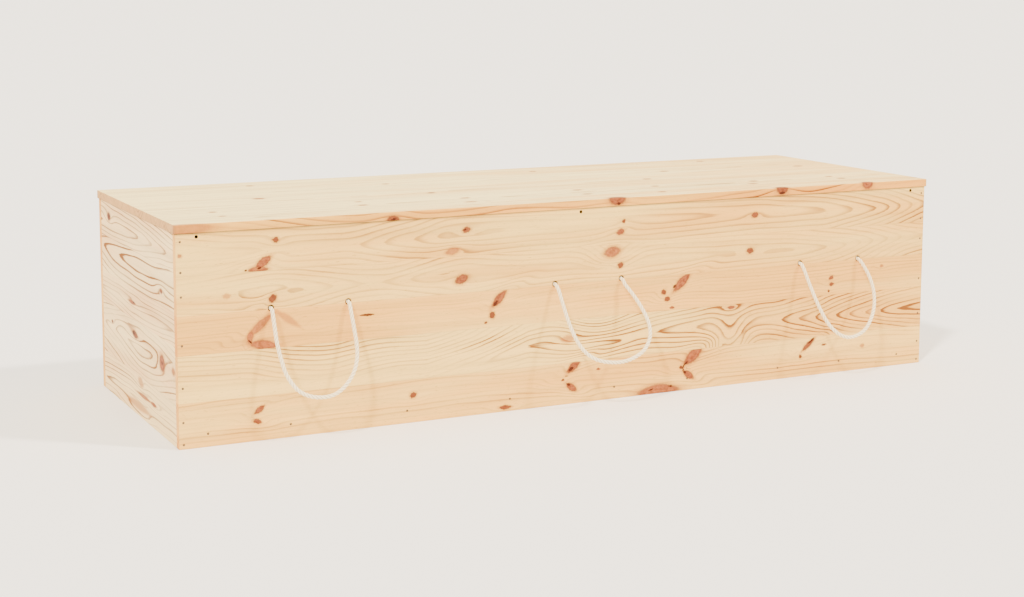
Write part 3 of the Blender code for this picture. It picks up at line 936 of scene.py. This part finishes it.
nails = []
for side, side_sign in (("front", -1.0), ("back", 1.0)):
    for number, x in enumerate(BOTTOM_NAIL_X, 1):
        nails.append(nail_piece(f"foot_nail_{side}_{number}", x, side_sign))


# Materials


def linear(red, green, blue):
    """A screen colour from 0 to 255 as the colour a shader takes."""
    parts = []
    for value in (red, green, blue):
        share = value / 255.0
        parts.append(share / 12.92 if share <= 0.04045 else ((share + 0.055) / 1.055) ** 2.4)
    return (*parts, 1.0)


def feed(node, values):
    """Links or sets a node's inputs."""
    for key, value in values.items():
        if isinstance(value, bpy.types.NodeSocket):
            node.id_data.links.new(value, node.inputs[key])
        else:
            node.inputs[key].default_value = value


def add_node(tree, kind, values=None, **settings):
    made = tree.nodes.new(kind)
    for key, value in settings.items():
        setattr(made, key, value)
    feed(made, values or {})
    return made


def tree_of(*values):
    """The node tree of the first socket among the values."""
    return next(value.id_data for value in values if isinstance(value, bpy.types.NodeSocket))


def maths(operation, first, second=0.0, third=0.0):
    tree = tree_of(first, second, third)
    made = add_node(tree, "ShaderNodeMath", {0: first, 1: second, 2: third}, operation=operation)
    return made.outputs[0]


def times(first, second):
    return maths("MULTIPLY", first, second)


def plus(first, second):
    return maths("ADD", first, second)


def scaled(value, factor, start):
    """The value times the factor, plus the start."""
    return maths("MULTIPLY_ADD", value, factor, start)


def ramp(value, low, high, at_low=0.0, at_high=1.0):
    """A smooth step from at_low to at_high as the value goes from low to high."""
    values = {0: value, 1: low, 2: high, 3: at_low, 4: at_high}
    made = add_node(value.id_data, "ShaderNodeMapRange", values, interpolation_type="SMOOTHSTEP")
    return made.outputs[0]


def mixed(share, first, second, blend="MIX"):
    tree = tree_of(share, first, second)
    values = {0: share, 6: first, 7: second}
    return add_node(tree, "ShaderNodeMix", values, data_type="RGBA", blend_type=blend).outputs[2]


def dimmed(colour, amount):
    """The colour times the amount, in red, green and blue alike."""
    grey = add_node(amount.id_data, "ShaderNodeCombineColor", {0: amount, 1: amount, 2: amount})
    return mixed(1.0, colour, grey.outputs[0], "MULTIPLY")


def parts_of(vector):
    return add_node(vector.id_data, "ShaderNodeSeparateXYZ", {0: vector}).outputs


def stretched_noise(coordinates, stretch, detail=2.0, roughness=0.5):
    tree = coordinates.id_data
    values = {0: coordinates, 1: stretch}
    drawn_out = add_node(tree, "ShaderNodeVectorMath", values, operation="MULTIPLY").outputs[0]
    values = {"Vector": drawn_out, "Scale": 1.0, "Detail": detail, "Roughness": roughness}
    return add_node(tree, "ShaderNodeTexNoise", values).outputs[0]


def bumped(height, strength, distance):
    values = {"Strength": strength, "Distance": distance, "Height": height}
    return add_node(height.id_data, "ShaderNodeBump", values).outputs[0]


def new_material(name):
    """A material, its node tree, its shader and the object's own coordinates."""
    material = bpy.data.materials.new(name)
    material.use_nodes = True
    tree = material.node_tree
    coordinates = add_node(tree, "ShaderNodeTexCoord").outputs["Object"]
    return material, tree, tree.nodes["Principled BSDF"], coordinates


LONG_YELLOW = linear(245, 206, 118)
LONG_PINK = linear(236, 176, 88)
CROSS_YELLOW = linear(252, 222, 164)
CROSS_PINK = linear(238, 184, 126)
LID_YELLOW = linear(255, 232, 164)
LID_PINK = linear(252, 212, 136)
LATE_WOOD = linear(138, 84, 36)
HALO_WOOD = linear(190, 122, 58)
KNOT_WOOD = linear(120, 56, 38)
KNOT_LIGHT = linear(178, 102, 62)
DARK_KNOT = linear(68, 28, 20)
DARK_SPOT = linear(74, 36, 24)
# The dark brown of the painted shade inside the holes and along the gap under the lid
SHADE_COLOUR = linear(40, 24, 14)
SAWN_EDGE = linear(234, 192, 132)
END_GRAIN = linear(250, 220, 204)
LID_END_GRAIN = linear(196, 150, 132)


def pine_material(name, grain_axis, yellow_wood, pink_wood, end_wood, edge_share, least_line, late_start):
    """Glued pine: rings, fibre, flecks, knots, glue lines and painted shade, from what each board's points
    carry.
    """
    material, tree, shader, coordinates = new_material(name)

    def stretch(along, across):
        scales = [across, across, across]
        scales[grain_axis] = along
        return tuple(scales)

    def carried(attribute):
        return add_node(tree, "ShaderNodeAttribute", attribute_name=attribute)

    rings = carried("rings").outputs["Fac"]
    contrast, tone, seam = parts_of(carried("look").outputs["Vector"])

    blotch = stretched_noise(coordinates, stretch(1.6, 14.0), 3.0, 0.55)
    patch = stretched_noise(coordinates, stretch(1.4, 50.0), 3.0, 0.6)
    fibre = stretched_noise(coordinates, stretch(7.0, 420.0), 3.0, 0.6)
    thread = stretched_noise(coordinates, stretch(22.0, 1500.0), 2.0, 0.6)
    fleck = stretched_noise(coordinates, stretch(75.0, 900.0), 1.0)
    grit = stretched_noise(coordinates, (210.0, 210.0, 210.0), 3.0, 0.6)
    mottle = stretched_noise(coordinates, (110.0, 110.0, 110.0), 3.0, 0.65)

    # Ground colour of the strip
    shifted_tone = plus(tone, scaled(blotch, 2.0, -1.0))
    ground = mixed(ramp(shifted_tone, 0.0, 1.0), yellow_wood, pink_wood)
    ground = dimmed(ground, scaled(patch, 0.50, 0.76))

    # Late wood of each ring: a slow rise and a sharp end
    wavered = plus(rings, scaled(fibre, 0.16, -0.08))
    share = maths("FRACT", wavered)
    late = times(ramp(share, late_start, 0.91), ramp(share, 0.93, 1.0, 1.0, 0.0))
    normal = parts_of(add_node(tree, "ShaderNodeNewGeometry").outputs["Normal"])
    facing = maths("ABSOLUTE", normal[grain_axis])
    sideways = maths("ABSOLUTE", normal[1 - grain_axis])
    sawn = ramp(sideways, 0.5, 0.9, 0.0, edge_share)
    strength = times(contrast, ramp(blotch, 0.32, 0.66, least_line, 1.0))
    strength = times(strength, scaled(sawn, 0.35, 1.0))
    strip = maths("ROUND", carried("strip").outputs["Fac"])
    ring_key = scaled(strip, 13.37, times(maths("FLOOR", wavered), 1.713))
    chance = add_node(tree, "ShaderNodeTexWhiteNoise", {"W": ring_key}, noise_dimensions="1D")
    strength = times(strength, scaled(chance.outputs["Value"], 1.15, 0.30))
    late = times(late, strength)
    colour = mixed(maths("MINIMUM", times(late, 0.85), 1.0), ground, LATE_WOOD)

    # Fibre and resin flecks
    colour = dimmed(colour, times(scaled(fibre, 0.20, 0.90), scaled(thread, 0.12, 0.94)))
    colour = mixed(ramp(fleck, 0.66, 0.78, 0.0, 0.45), colour, LATE_WOOD)

    # End grain
    colour = mixed(sawn, colour, SAWN_EDGE, "MULTIPLY")
    end_share = ramp(facing, 0.6, 0.9, 0.0, 0.8)
    colour = mixed(end_share, colour, end_wood, "MULTIPLY")

    # Knots, one layer over another
    core = None
    for number in range(KNOT_LAYERS):
        u, v, near = parts_of(carried(f"knot_{number}").outputs["Vector"])
        dark, size, spike = parts_of(carried(f"trait_{number}").outputs["Vector"])
        square_u = times(u, u)
        square_v = times(v, v)
        pinch = scaled(maths("SUBTRACT", square_u, 0.25), spike, 1.0)
        distance = maths("SQRT", plus(square_u, times(square_v, pinch)))
        wobble = maths("DIVIDE", scaled(grit, 8.4, -4.2), size)
        ragged = plus(distance, wobble)
        halo = times(ramp(ragged, 0.8, 1.7, 0.6, 0.0), near)
        halo = times(halo, ramp(dark, 1.2, 1.9, 1.0, 0.0))
        faint = ramp(dark, -1.0, 0.0, 0.12, 1.0)
        here = times(ramp(ragged, 0.74, 1.08, 1.0, 0.0), near)
        colour = mixed(halo, colour, HALO_WOOD)
        knot_rings = maths("SINE", times(ragged, 17.0))
        lightness = scaled(knot_rings, 0.14, ramp(mottle, 0.3, 0.7, 0.05, 0.85))
        lightness = times(lightness, ramp(dark, 0.0, 1.0, 1.0, 0.1))
        lightness = plus(lightness, scaled(thread, 0.9, -0.4))
        inner = mixed(maths("MAXIMUM", lightness, 0.0), KNOT_WOOD, KNOT_LIGHT)
        rim = ramp(scaled(mottle, 0.5, ragged), 0.85, 1.15, 0.0, 1.0)
        shade = maths("MAXIMUM", times(dark, 0.55), times(rim, 0.5))
        shade = maths("MINIMUM", scaled(dark, times(rim, 0.4), shade), 1.0)
        inner = mixed(shade, inner, DARK_KNOT)
        inner = mixed(ramp(dark, 1.2, 1.9), inner, DARK_SPOT)
        here = times(here, faint)
        colour = mixed(times(here, 0.94), colour, inner)
        core = here if core is None else maths("MAXIMUM", core, here)

    # Glue line, then painted shade inside the holes and along the gap under the lid
    glue = ramp(seam, 0.1, 0.5, 0.35, 0.0)
    colour = mixed(glue, colour, LATE_WOOD)
    painted_shade = carried("painted_shade").outputs["Fac"]
    colour = mixed(ramp(painted_shade, 0.0, 1.0, 0.0, 0.85), colour, SHADE_COLOUR)

    gloss = maths("SUBTRACT", scaled(fibre, 0.16, 0.52), times(core, 0.08))
    height = plus(times(fibre, 0.7), times(thread, 0.5))
    height = plus(height, times(late, 0.25))
    height = plus(height, times(core, 0.3))
    feed(shader, {"Base Color": colour, "Roughness": gloss, "Specular IOR Level": 0.04})
    feed(shader, {"Normal": bumped(height, 0.45, 0.0003)})
    return material


def rope_material():
    """Cream cotton: painted shade in the grooves between the strands, with fine yarn."""
    material, tree, shader, coordinates = new_material("cotton")
    strand = add_node(tree, "ShaderNodeAttribute", attribute_name="strand").outputs["Fac"]
    fuzz = stretched_noise(coordinates, (900.0, 900.0, 900.0), 3.0, 0.6)
    soil = stretched_noise(coordinates, (26.0, 26.0, 26.0), 2.0)
    cream = mixed(soil, linear(255, 243, 208), linear(252, 234, 194))
    # Painted shade in the grooves between the strands
    groove = ramp(strand, 0.1, 0.75, 0.8, 0.0)
    colour = mixed(groove, cream, linear(176, 134, 84))
    colour = mixed(ramp(fuzz, 0.35, 0.75, 0.15, 0.0), colour, linear(226, 200, 152))
    feed(shader, {"Base Color": colour, "Roughness": 0.9, "Specular IOR Level": 0.2, "Sheen Weight": 0.2})
    feed(shader, {"Normal": bumped(plus(fuzz, times(strand, 0.5)), 0.5, 0.0004)})
    return material


def steel_material():
    """Dull bright steel, a little brown where it has been hammered."""
    material, _, shader, coordinates = new_material("nail_steel")
    tarnish = stretched_noise(coordinates, (1400.0, 1400.0, 1400.0), 3.0, 0.6)
    colour = mixed(ramp(tarnish, 0.35, 0.65), linear(128, 112, 98), linear(92, 66, 48))
    feed(shader, {"Base Color": colour, "Roughness": scaled(tarnish, 0.3, 0.35), "Metallic": 0.8})
    feed(shader, {"Normal": bumped(tarnish, 0.4, 0.0002)})
    return material


long_pine = pine_material("pine_along_x", 0, LONG_YELLOW, LONG_PINK, END_GRAIN, 0.0, 0.20, 0.52)
cross_pine = pine_material("pine_along_y", 1, CROSS_YELLOW, CROSS_PINK, END_GRAIN, 0.0, 0.30, 0.66)
lid_pine = pine_material("pine_lid", 0, LID_YELLOW, LID_PINK, LID_END_GRAIN, 1.0, 0.25, 0.50)
cotton = rope_material()
steel = steel_material()
# Each board's material and a name for its slot
BOARD_WOOD = {
    "side_board_front": (long_pine, "side_pine"),
    "side_board_back": (long_pine, "side_pine"),
    "end_board_left": (cross_pine, "end_pine"),
    "end_board_right": (cross_pine, "end_pine"),
    "bottom_board": (long_pine, "bottom_pine"),
    "lid_board": (lid_pine, "lid_pine"),
}
for node, board in boards.items():
    wood, slot_name = BOARD_WOOD[node]
    board.data.materials.append(wood)
for piece in handles:
    piece.data.materials.append(cotton)
for piece in nails:
    piece.data.materials.append(steel)
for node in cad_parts:
    if not node.startswith("nail_"):
        continue
    for slot in bpy.data.objects[node].material_slots:
        slot.material = steel


# Floor and light

FLOOR_REACH = 300
LAMP_DISTANCE = 6.0
LAMP_COLOUR = (1.0, 0.89, 0.73)
WORLD_COLOUR = (1.0, 0.91, 0.77, 1.0)
WORLD_STRENGTH = 1.5


def make_floor():
    data = bpy.data.meshes.new("floor")
    corners = [(x * FLOOR_REACH, y * FLOOR_REACH, 0) for x, y in ((-1, -1), (1, -1), (1, 1), (-1, 1))]
    data.from_pydata(corners, [], [(0, 1, 2, 3)])
    floor = bpy.data.objects.new("floor", data)
    bpy.context.collection.objects.link(floor)
    material = bpy.data.materials.new("floor_white")
    material.use_nodes = True
    shader = material.node_tree.nodes["Principled BSDF"]
    shader.inputs["Base Color"].default_value = (0.93, 0.93, 0.93, 1.0)
    shader.inputs["Roughness"].default_value = 0.9
    data.materials.append(material)


def make_light(name, towards, strength, angle):
    """A broad, soft lamp far away, in the direction given from the object."""
    data = bpy.data.lights.new(name, "SUN")
    data.energy = strength
    data.angle = math.radians(angle)
    data.color = LAMP_COLOUR
    light = bpy.data.objects.new(name, data)
    bpy.context.collection.objects.link(light)
    away = np.array(towards, dtype=float)
    away /= np.linalg.norm(away)
    side = np.cross((0.0, 0.0, 1.0), away)
    side /= np.linalg.norm(side)
    above = np.cross(away, side)
    set_pose(light, side, above, away, LAMP_DISTANCE * away)


make_floor()
world = bpy.data.worlds.new("studio")
world.use_nodes = True
feed(world.node_tree.nodes["Background"], {"Color": WORLD_COLOUR, "Strength": WORLD_STRENGTH})
bpy.context.scene.world = world
make_light("key_left", (-0.56, -0.44, 0.75), 4.8, 5.0)
make_light("key_right", (0.56, -0.46, 0.72), 3.9, 5.0)
make_light("overhead", (0.05, 0.15, 1.0), 1.6, 40.0)
